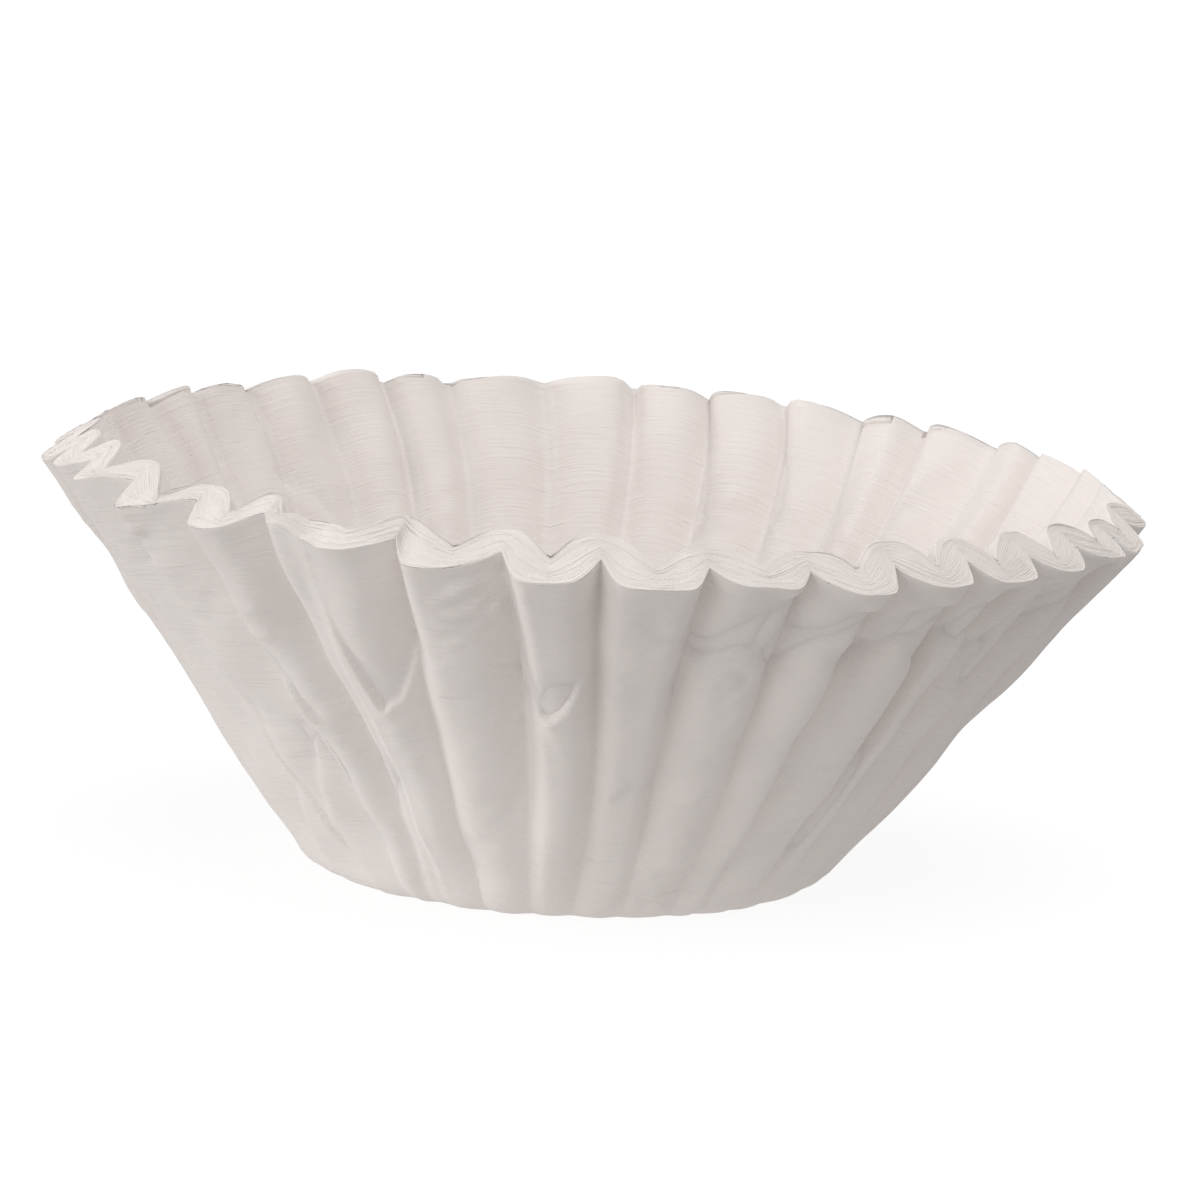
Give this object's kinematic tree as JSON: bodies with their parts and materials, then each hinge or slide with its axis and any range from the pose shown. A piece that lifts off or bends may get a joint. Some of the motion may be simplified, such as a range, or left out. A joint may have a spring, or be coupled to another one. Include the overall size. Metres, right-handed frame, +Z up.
{
  "type": "paper coffee filter",
  "caption": "Nested bundle of fluted basket filters, pressed together into one open paper cup with a flat round base.",
  "frame": {"origin": "middle of the flat base, on the surface that the cup stands on", "axes": "+Z up, out of the cup's mouth; -Y towards the front, as the picture shows it; +X to the right"},
  "size_m": [0.1505, 0.1505, 0.0599],
  "materials": {
    "filter_paper": "matte warm white creped paper"
  },
  "bodies": {
    "root": {"filter_bundle": "filter_paper"}
  },
  "joints": []
}
